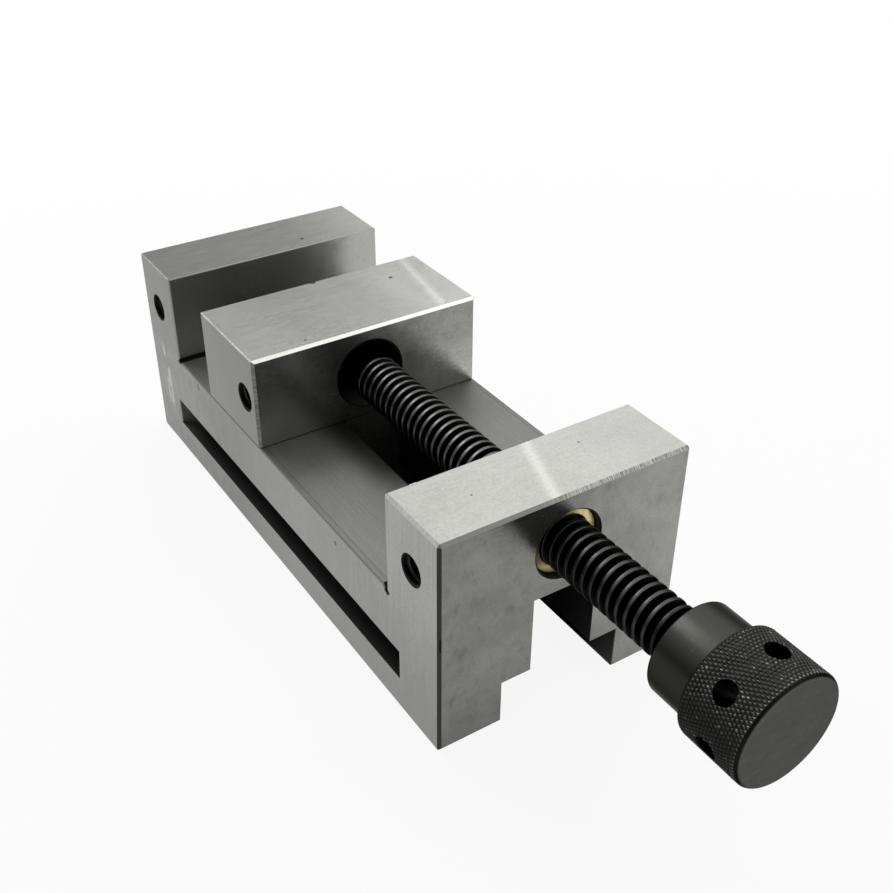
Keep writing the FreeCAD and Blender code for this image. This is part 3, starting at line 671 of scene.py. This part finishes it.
def make_piece(name, points, faces, material, body, sharp=SHARP_EDGE):
    """A closed mesh piece that rides on a body. Edges that bend more than sharp degrees stay crisp."""
    mesh = bpy.data.meshes.new(name)
    mesh.from_pydata(points.tolist(), [], faces)
    shell = bmesh.new()
    shell.from_mesh(mesh)
    bmesh.ops.recalc_face_normals(shell, faces=shell.faces)
    shell.to_mesh(mesh)
    shell.free()
    mesh.shade_smooth()
    mesh.set_sharp_from_angle(angle=math.radians(sharp))
    mesh.materials.append(material)
    piece = bpy.data.objects.new(name, mesh)
    bpy.context.scene.collection.objects.link(piece)
    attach(piece, body)
    triangles = sum(len(polygon.vertices) - 2 for polygon in mesh.polygons)
    print(f"{name}: {len(mesh.vertices)} points, {triangles} triangles, rides on {body}")
    return piece


def strips(first, second):
    """Quads between two rows of point numbers, taken side by side."""
    return np.stack([first[:-1], first[1:], second[1:], second[:-1]], axis=1).tolist()


def around_screw(x, radius, angle):
    """Points at x along the screw's axis, at a radius and an angle round it, in metres."""
    return np.stack([x, radius * np.cos(angle), radius * np.sin(angle) + axis_z], axis=-1) * MM


# %% [markdown]
# The lead screw carries a trapezoidal thread, 14 mm across with a 3 mm pitch. A grid of straight rows
# round the screw would cut across the thread's edges and leave them jagged, so the rows follow the
# helix instead: the profile of one pitch is carried round, and the last row of one turn joins the first
# row of the next. Behind the thread is a plain shank with the nose that turns in the jaw, and before the
# knob the groove runs out into a low neck. Rings close the shape down to the axis at both ends.

# %% The thread's profile and helix
# In millimetres. FIRST_TURN is where the ribbon starts, in turns from THREAD_PHASE.
PITCH = 3.0
CREST_RADIUS = 7.0
ROOT_RADIUS = 5.25
NECK_RADIUS = 6.35
NECK_LENGTH = 3.0
THREAD_PHASE = 0.57
FIRST_TURN = -17
SHANK_LENGTH = 18.5
NOSE_LENGTH = 5.0
NOSE_EDGE = 2.0
SPIGOT_RADIUS = 5.0

# Half of one groove and one crest: distance from the crest's middle and radius, in millimetres.
FLANK = [(PITCH / 2, ROOT_RADIUS), (1.04, ROOT_RADIUS), (0.93, 5.42), (0.55, 6.84), (0.46, 6.97),
         (0.36, CREST_RADIUS)]
profile_x = np.array([-x for x, _ in FLANK] + [x for x, _ in FLANK[:0:-1]]) + PITCH / 2
profile_r = np.array([r for _, r in FLANK] + [r for _, r in FLANK[:0:-1]])


def thread_ribbon(first_x, turns, steps, thread_start, run_out_start):
    """The thread's points, row i along the profile and column j of the way round.

    x = first_x + PITCH * j / steps + profile_x[i]. The radius is the profile's, but it grows from the
    root over the first millimetres, and the groove runs out into a low neck before the knob.
    """
    column = np.arange(turns * steps + 1)
    angle = np.broadcast_to(2 * np.pi * column / steps, (len(profile_x), len(column)))
    x = first_x + PITCH * column[None, :] / steps + profile_x[:, None]
    radius = np.minimum(profile_r[:, None], ROOT_RADIUS + np.maximum(x - thread_start, 0.0))
    run_out = np.clip(ROOT_RADIUS + (x - run_out_start), ROOT_RADIUS, NECK_RADIUS)
    crest = np.clip(CREST_RADIUS - (x - run_out_start), NECK_RADIUS, CREST_RADIUS)
    return around_screw(x, np.clip(radius, run_out, crest), angle)


def close_end(count, boundary, corner, steps, rings):
    """Rings that carry on from one end of the ribbon and close on the axis. count numbers the first point.

    boundary is the last turn of the ribbon's edge, and corner the step from its end back to its start.
    """
    turn = 2 * np.pi * np.arange(steps) / steps
    points = [around_screw(np.full(steps, x), radius, turn) for x, radius in rings]
    points.append(around_screw(np.array([rings[-1][0]]), 0.0, np.zeros(1)))
    number = count + np.arange(len(rings) * steps).reshape(len(rings), steps)
    faces = strips(boundary[:steps], number[0])
    faces.append([*boundary[steps - 1:], *corner, number[0, 0], number[0, -1]])
    for first, second in zip(number[:-1], number[1:]):
        faces += strips(np.append(first, first[0]), np.append(second, second[0]))
    centre = count + len(rings) * steps
    faces += [[a, b, centre] for a, b in zip(number[-1], np.roll(number[-1], -1))]
    return np.concatenate(points), faces


def lead_screw_mesh(steps=72, turns=47):
    """The thread as one helical ribbon, and rings from its ends to both ends of the screw."""
    nose_tip, spigot_end, shoulder = screw_low[0], screw_high[0], knob_low[0]
    ribbon = thread_ribbon(THREAD_PHASE + PITCH * FIRST_TURN, turns, steps,
                           thread_start=nose_tip + SHANK_LENGTH, run_out_start=shoulder - NECK_LENGTH)
    rows, columns = ribbon.shape[:2]
    number = np.arange(rows * columns).reshape(rows, columns)
    faces = []
    for lower, upper in zip(number[:-1], number[1:]):
        faces += strips(lower, upper)
    faces += strips(number[-1, :columns - steps], number[0, steps:])

    nose = screw_high[2] - axis_z
    rear, rear_faces = close_end(
        number.size, number[0, :steps + 1], number[:0:-1, 0], steps,
        [(nose_tip + NOSE_LENGTH, ROOT_RADIUS), (nose_tip + NOSE_LENGTH, nose),
         (nose_tip + NOSE_EDGE, nose), (nose_tip, nose - NOSE_EDGE)])
    front, front_faces = close_end(
        number.size + len(rear), number[-1, columns - 1 - steps:], number[-2::-1, -1], steps,
        [(shoulder, NECK_RADIUS), (shoulder, SPIGOT_RADIUS), (spigot_end, SPIGOT_RADIUS)])
    points = np.concatenate([ribbon.reshape(-1, 3), rear, front])
    return points, [list(map(int, face)) for face in faces + rear_faces + front_faces]


# How far each stretch of the finish reaches back from the knob, in millimetres.
BLACK_NECK = 2.4
UNRUBBED = 5.0
DARK_CRESTS = 7.0


def thread_finish():
    """Nearly black flanks, crests of black oxide, and bare metal on the crests that the nut rubs.

    Towards the knob the crests grow darker, then the bare metal ends, and then the neck starts.
    """
    paint = Paint("black thread")
    shoulder = knob_low[0]
    neck = paint.x > shoulder - BLACK_NECK
    crest = paint.reach(paint.y, paint.z - axis_z).rise(6.80, 6.95).largest(neck)
    rub_and_painted_highlight = paint.noise((0.5, 0.5, 0.5), detail=3.0).rise(0.2, 0.6)
    travelled = 1 - 0.75 * paint.x.rise(block_face_x, nut_high[0] + 6.0)
    bare = crest * (0.25 + 0.35 * rub_and_painted_highlight) * travelled * (paint.x < shoulder - UNRUBBED)
    skin = paint.blend(crest * (1 - 0.5 * (paint.x > shoulder - DARK_CRESTS)), DEEP, BLACK)
    return paint.finish(Base_Color=paint.blend(bare, skin, BARE), Metallic=1.0,
                        Roughness=0.24 + 0.1 * rub_and_painted_highlight, Specular_Tint=EDGE_TINT)


points, faces = lead_screw_mesh()
thread = make_piece("threaded_screw", points, faces, thread_finish(), "screw")
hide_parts("lead_screw")


# %% [markdown]
# Of the nut, one sees the face that is set back in the block's hole, and from behind the flange on the
# bed's side. Both are turned, so the whole nut is one closed outline of corners carried round the
# screw's axis. It is made anew because its lead-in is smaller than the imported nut's, as in the picture.

# %% The nut
def turned_ring(outline, steps=96):
    """A ring turned from a closed outline of (x, radius) corners: row i is corner i carried round."""
    x, radius = np.array(outline).T[:, :, None] * np.ones(steps)
    points = around_screw(x, radius, 2 * np.pi * np.arange(steps) / steps)
    number = np.arange(x.size).reshape(x.shape)
    number = np.append(number, number[:, :1], axis=1)
    number = np.append(number, number[:1], axis=0)
    faces = []
    for a, b in zip(number[:-1], number[1:]):
        faces += strips(a, b)
    return points.reshape(-1, 3), faces


def brass_nut_outline(bore=7.05, lead_in=0.25, flange_length=5.0, barrel=9.4, edge=0.3):
    """The nut's section: flange on the bed's side, barrel, and the face that is seen in the hole."""
    rear, face, flange = nut_low[0], nut_high[0], (nut_high[2] - nut_low[2]) / 2
    return [(rear, bore + lead_in), (rear, flange), (rear + flange_length, flange),
            (rear + flange_length, barrel), (face - edge, barrel), (face, barrel - edge),
            (face, bore + lead_in), (face - lead_in, bore), (rear + lead_in, bore)]


brass = turned_brass("turned brass")
points, faces = turned_ring(brass_nut_outline())
nut = make_piece("brass_nut", points, faces, brass, "vise")
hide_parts("screw_nut")


# %% [markdown]
# A nut or a tapped hole has the screw's helix turned inside out: a ridge on the wall. Each ridge is a
# trapezium carried along a helix, and it sinks into the wall at both ends, where a real thread has
# its chamfer. The nut's ridge lies exactly in the screw's groove, so it still fits when the screw
# turns and travels.

# %% The nut's thread
def ridge_mesh(start, end, pitch, phase, wall, inner, half_wide, half_narrow, taper, steps=48):
    """A helical ridge round an axis, from start to end along it, in millimetres.

    Its middle is at phase + pitch * turns. The section goes from half_wide at the wall's radius to
    half_narrow at the inner radius, and its height grows over the taper at each end.
    """
    first, last = (start - phase) / pitch, (end - phase) / pitch
    turn = np.linspace(first, last, int((last - first) * steps))
    along = phase + pitch * turn
    height = np.clip(np.minimum(along - start, end - along) / taper, 0.03, 1.0)
    narrow = half_wide + (half_narrow - half_wide) * height
    top = wall + (inner - wall) * height
    offset = np.stack([np.full_like(along, -half_wide), -narrow, narrow, np.full_like(along, half_wide)])
    radius = np.stack([np.full_like(along, wall), top, top, np.full_like(along, wall)])
    angle = np.broadcast_to(2 * np.pi * turn, offset.shape)
    corners, length = offset.shape
    number = np.arange(corners * length).reshape(corners, length)
    faces = []
    for a, b in zip(number, np.roll(number, -1, axis=0)):
        faces += strips(a, b)
    faces += [number[:, 0].tolist(), number[:, -1].tolist()]
    return (along[None, :] + offset).ravel(), radius.ravel(), angle.ravel(), faces


NUT_THREAD_INSET = 0.9
x, radius, angle, faces = ridge_mesh(
    nut_low[0] + NUT_THREAD_INSET, nut_high[0] - NUT_THREAD_INSET, PITCH, THREAD_PHASE,
    wall=7.12, inner=5.45, half_wide=0.92, half_narrow=0.43, taper=1.5)
make_piece("nut_thread", around_screw(x, radius, angle), faces, brass, "vise")


# %% [markdown]
# The three tapped holes in the left side show the same ridge, laid along Y. It starts inside the hole's
# chamfer. In two of the holes it ends at the grub screw deep inside, and the third takes a work stop.

# %% Threads of the side holes
HOLE_PITCH = 1.25
RIDGE_START = 0.65
STOP_HOLE_DEPTH = 15.0
GRUB_GAP = 0.3
hole_black = black_oxide("oiled hole threads", roughness=0.25)


def side_hole_thread(name, hole_x, depth, body):
    """A ridge from RIDGE_START to depth, measured from the left side."""
    along, radius, angle, faces = ridge_mesh(
        RIDGE_START, depth, HOLE_PITCH, 0.0,
        wall=4.04, inner=3.40, half_wide=0.54, half_narrow=0.12, taper=0.8, steps=36)
    points = np.stack([
        hole_x + radius * np.cos(angle), side_y + along, axis_z + radius * np.sin(angle)], axis=-1)
    return make_piece(name, points * MM, faces, hole_black, body)


side_hole_thread("stop_hole_thread", stop_hole_x, STOP_HOLE_DEPTH, "vise")
side_hole_thread("nut_lock_thread", nut_lock_x, nut_lock_low[1] - side_y - GRUB_GAP, "vise")
side_hole_thread("ring_lock_thread", ring_lock_x, ring_lock_low[1] - side_y - GRUB_GAP, "jaw")


# %% [markdown]
# The knob is turned, knurled and drilled. Its outline is a list of stations along the axis, and the
# knurl is cut into the grip as two crossing families of grooves: at each point the deeper groove
# wins, which leaves the little diamonds of the knurl. The cut stops at the rounded rim, and that gives
# the toothed edge of the real one. Six holes for a tommy bar are bored afterwards, as three drillings
# right through.

# %% The knurled knob
KNURL_STARTS = 84
KNURL_PER_MM = (0.545, 0.590)
KNURL_DEPTH = 0.27
KNURL_FLAT = 0.32
KNURL_STEP = 0.22
HUB_RADIUS = 11.9
HUB_LENGTH = 11.7
GRIP_RADIUS = 14.1
GRIP_CHAMFER = 0.4
RIM_RADIUS = 1.3
HUB_ROUNDING = 0.6
SPIGOT_BORE = 5.03
SPIGOT_DEPTH = 14.03
DRILL_LENGTH = 34.0
TOMMY_RADIUS = 2.75
TOMMY_FROM_END = 8.9
TOMMY_TURN = 18.2


def groove(phase):
    """A wave that is 1 in the middle of each groove and 0 on the narrow flat between two."""
    wave = 1 - np.abs(2 * (phase - np.floor(phase)) - 1)
    return np.clip((wave - KNURL_FLAT) / (1 - KNURL_FLAT), 0.0, 1.0)


def knob_mesh(steps=KNURL_STARTS * 8):
    """Rings round the axis. radius = min(outline, grip - depth * max(groove1, groove2)) on the grip."""
    rear, end = knob_low[0], knob_high[0]
    hub_edge = [(rear + HUB_ROUNDING * (1 - np.cos(t)), HUB_RADIUS - HUB_ROUNDING * (1 - np.sin(t)))
                for t in np.linspace(0, np.pi / 2, 6)]
    grip_x = np.arange(rear + HUB_LENGTH, end - RIM_RADIUS, KNURL_STEP)
    grip_x = np.append(grip_x, end - RIM_RADIUS + RIM_RADIUS * np.sin(np.linspace(0.1, np.pi / 2, 10)))
    from_rear, into_rim = grip_x - grip_x[0], np.maximum(RIM_RADIUS - end + grip_x, 0.0)
    rim = GRIP_RADIUS - RIM_RADIUS + np.sqrt(np.maximum(RIM_RADIUS ** 2 - into_rim ** 2, 0.0))
    outline = np.minimum(GRIP_RADIUS - GRIP_CHAMFER + from_rear, rim)
    turn = 2 * np.pi * np.arange(steps) / steps
    turns, along = np.meshgrid(turn / (2 * np.pi), grip_x)
    cut = np.maximum(groove(KNURL_STARTS * turns + KNURL_PER_MM[0] * along),
                     groove(KNURL_STARTS * turns - KNURL_PER_MM[1] * along))
    knurled = np.minimum(outline[:, None], GRIP_RADIUS - KNURL_DEPTH * cut)

    before = [(rear, SPIGOT_BORE), *hub_edge, (rear + HUB_LENGTH, HUB_RADIUS)]
    after = [(end, GRIP_RADIUS - RIM_RADIUS - 0.2), (end, GRIP_RADIUS * 0.5),
             (rear + SPIGOT_DEPTH, SPIGOT_BORE)]
    rings = [around_screw(np.full(steps, x), r, turn) for x, r in [*before, *zip(grip_x, knurled), *after]]
    centres = [around_screw(np.array([x]), 0.0, np.zeros(1)) for x in (end, rear + SPIGOT_DEPTH)]
    number = np.arange(len(rings) * steps).reshape(len(rings), steps)
    number = np.concatenate([number, number[:, :1]], axis=1)
    faces = []
    outside = number[:-1]
    for a, b in zip(outside[:-1], outside[1:]):
        faces += strips(a, b)
    faces += strips(number[0], number[-1])
    end_centre = len(rings) * steps
    faces += [[a, b, end_centre] for a, b in zip(outside[-1, :-1], outside[-1, 1:])]
    faces += [[a, b, end_centre + 1] for a, b in zip(number[-1, :-1], number[-1, 1:])]
    return np.concatenate(rings + centres), [list(map(int, face)) for face in faces]


RIM_WIDTH = 0.9


def knob_finish():
    """Black oxide: a smooth hub, a knurl with dark grooves and worn points, and a scratched end."""
    paint = Paint("black knob")
    smear = paint.noise((0.14, 0.14, 0.14), detail=4.0)
    grip_rear, grip_end = knob_low[0] + HUB_LENGTH, knob_high[0] - RIM_WIDTH
    on_grip = paint.x.between(grip_rear + 0.1, grip_end)
    on_end = paint.facing_x.rise(0.75, 0.98)
    on_rim = (paint.x > grip_end) * (1 - on_end)
    tip = on_grip * paint.reach(paint.y, paint.z - axis_z).rise(GRIP_RADIUS - 0.20, GRIP_RADIUS - 0.03)
    speck = paint.noise((0.8, 0.8, 0.8), detail=0.0).rise(0.66, 0.78)
    rim_teeth = paint.x.between(grip_end - RIM_WIDTH, grip_end)
    scratch = paint.noise((0.4, 0.22, 1.1), detail=5.0, roughness=0.75).rise(0.50, 0.72)
    fleck = (1 - on_grip) * paint.noise((1.4, 1.4, 1.4), detail=1.0).rise(0.76, 0.80)
    skin = paint.blend((0.55 * (1 - tip) * on_grip).largest(0.8 * on_rim), BLACK, DEEP)
    bare = (tip * (0.1 + 0.9 * speck)).largest(0.5 * tip * rim_teeth).largest(0.4 * fleck)
    bare = bare.largest(on_end * (0.54 + 0.36 * smear + 0.32 * scratch))
    paint.bump(paint.noise((4.0, 0.4, 0.4), detail=2.0) * (1 - on_grip), 0.01)
    return paint.finish(Base_Color=paint.blend(bare, skin, BARE), Metallic=1.0,
                        Roughness=0.26 + 0.1 * smear + 0.1 * on_end, Specular_Tint=EDGE_TINT)


def bore_tommy_holes(piece):
    """Cuts three drillings right through the grip, each 60 degrees from the next."""
    drill = bpy.data.meshes.new("tommy_drill")
    cutter = bmesh.new()
    hole_x = knob_high[0] - TOMMY_FROM_END
    for number in range(3):
        spin = Matrix.Rotation(math.radians(TOMMY_TURN + 90 + 60 * number), 4, "X")
        place = Matrix.Translation((hole_x * MM, 0, axis_z * MM)) @ spin
        bmesh.ops.create_cone(cutter, cap_ends=True, segments=56, radius1=TOMMY_RADIUS * MM,
                              radius2=TOMMY_RADIUS * MM, depth=DRILL_LENGTH * MM, matrix=place)
    cutter.to_mesh(drill)
    cutter.free()
    tool = bpy.data.objects.new("tommy_drill", drill)
    bpy.context.scene.collection.objects.link(tool)
    cut = piece.modifiers.new("tommy holes", "BOOLEAN")
    cut.operation = "DIFFERENCE"
    cut.solver = "EXACT"
    cut.use_self = True
    cut.object = tool
    shaped = bpy.data.meshes.new_from_object(piece.evaluated_get(bpy.context.evaluated_depsgraph_get()))
    piece.modifiers.clear()
    piece.data = shaped
    piece.data.set_sharp_from_angle(angle=math.radians(SHARP_EDGE))
    bpy.data.objects.remove(tool)


points, faces = knob_mesh()
knob = make_piece("knurled_knob", points, faces, knob_finish(), "screw", sharp=50.0)
bore_tommy_holes(knob)
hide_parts("knob")
print("knob triangles after boring:", sum(len(p.vertices) - 2 for p in knob.data.polygons))


# %% [markdown]
# The vise stands on a plain pale floor. The camera, and the metal that mirrors the floor, see it as
# nearly white, and a share of ordinary diffuse paint keeps the soft shadow round the vise. Further
# out that share fades away, so the floor runs into the white of the room without a line. What the
# recesses mirror of the floor right under the vise is dark, because no light gets there.

# %% Floor
def seen_by(nodes):
    """Two numbers: 1 for the camera's own rays, and 1 for rays that metal or glass sends on."""
    camera_ray = nodes.node("ShaderNodeLightPath", out="Is Camera Ray")
    glossy_ray = nodes.node("ShaderNodeLightPath", out="Is Glossy Ray")
    glass_ray = nodes.node("ShaderNodeLightPath", out="Is Transmission Ray")
    return camera_ray, glossy_ray.largest(glass_ray)


UNDER_REAR = 12.0
UNDER_FRONT = 16.0
UNDER_SIDE = 18.0


def under_vise(across, away, soft=0.02):
    """1 on the floor below the body, inside UNDER_REAR, UNDER_FRONT and UNDER_SIDE from its edges.

    It falls to 0 over soft metres outside of that.
    """
    rear = (body_low[0] + UNDER_REAR) * MM
    front = (body_high[0] - UNDER_FRONT) * MM
    side = (body_high[1] - UNDER_SIDE) * MM
    along = across.rise(rear - soft, rear) * (1 - across.rise(front, front + soft))
    return along * (1 - abs(away).rise(side, side + soft))


def pale_floor(half=3.0):
    """A square floor, half its width in metres."""
    mesh = bpy.data.meshes.new("floor")
    corners = [(-half, -half, 0), (half, -half, 0), (half, half, 0), (-half, half, 0)]
    mesh.from_pydata(corners, [], [(0, 1, 2, 3)])
    floor = bpy.data.objects.new("floor", mesh)
    bpy.context.scene.collection.objects.link(floor)
    material = bpy.data.materials.new("pale floor")
    material.use_nodes = True
    nodes = Nodes(material.node_tree)
    camera_ray, mirror_ray = seen_by(nodes)
    paint = nodes.node("ShaderNodeBsdfDiffuse", inputs={"Color": (0.82, 0.82, 0.82)})
    across, away, _ = nodes.split(nodes.node("ShaderNodeTexCoord", out="Object"))
    under = under_vise(across, away)
    glow = nodes.node("ShaderNodeEmission", inputs={"Strength": 1 - under * mirror_ray})
    far = (across * across + away * away).root().rise(0.16, 0.55)
    share = camera_ray * (0.90 + 0.10 * far) + mirror_ray * (0.85 + 0.15 * under)
    surface = nodes.node("ShaderNodeMixShader", inputs={0: share, 1: paint, 2: glow})
    nodes.feed(nodes.tree.nodes["Material Output"].inputs["Surface"], surface)
    nodes.tree.nodes.remove(nodes.tree.nodes["Principled BSDF"])
    mesh.materials.append(material)
    print(f"floor: {2 * half:.0f} m square")
    return floor


pale_floor()


# %% [markdown]
# One large softbox hangs over the vise and behind it, turned so that its far edge runs diagonally. The
# front block mirrors the middle of it and is bright. The jaws mirror the part near that edge, so their
# tops are darker towards the left. A small lamp beside it draws the narrow highlights on the knob and
# on the crests of the thread. The room is white to the camera, and what the metal mirrors of it falls
# off towards the near side, where the photographer works in the dark. High at the rear left the room
# has a soft bright patch, like a window, that widens the highlight on the knob's hub.

# %% Light
def overhead_lamp(name, centre, length, width, radiance, turn=0.0):
    """An area lamp that looks straight down. Sizes in metres; radiance 1 is as bright as white paper."""
    lamp = bpy.data.lights.new(name, "AREA")
    lamp.shape = "RECTANGLE"
    lamp.size, lamp.size_y = length, width
    lamp.energy = radiance * math.pi * length * width
    holder = bpy.data.objects.new(name, lamp)
    holder.location = centre
    holder.rotation_euler = (0.0, 0.0, math.radians(turn))
    bpy.context.scene.collection.objects.link(holder)
    print(f"{name}: {length} by {width} m, {lamp.energy:.1f} W")
    return holder


overhead_lamp("softbox", centre=(-0.96, 1.38, 1.15), length=1.9, width=2.9, radiance=1.75, turn=38.7)
overhead_lamp("highlight lamp", centre=(-0.95, -0.22, 1.14), length=0.6, width=0.6, radiance=6.5)

world = bpy.data.worlds.new("studio")
bpy.context.scene.world = world
world.use_nodes = True
room = Nodes(world.node_tree)
camera_ray, mirror_ray = seen_by(room)
aside, far, high = room.split(room.node("ShaderNodeTexCoord", out="Generated"))
FILL = 0.3
WINDOW_TURN = math.radians(215.0)
WINDOW_RISE = math.radians(50.0)

# A ray's direction times the window's is 1 in the window's middle, and less round it.
level = math.cos(WINDOW_TURN) * aside + math.sin(WINDOW_TURN) * far
window = (math.cos(WINDOW_RISE) * level + math.sin(WINDOW_RISE) * high).rise(0.75, 1.0)
mirrored = 0.35 + 0.60 * far.rise(-0.8, 0.5) + 1.1 * window
strength = FILL + (1 - FILL) * camera_ray + (mirrored - FILL) * mirror_ray
background = world.node_tree.nodes["Background"]
background.inputs["Color"].default_value = (1.0, 1.0, 1.0, 1.0)
room.feed(background.inputs["Strength"], strength)
bpy.context.scene.view_settings.view_transform = "Standard"
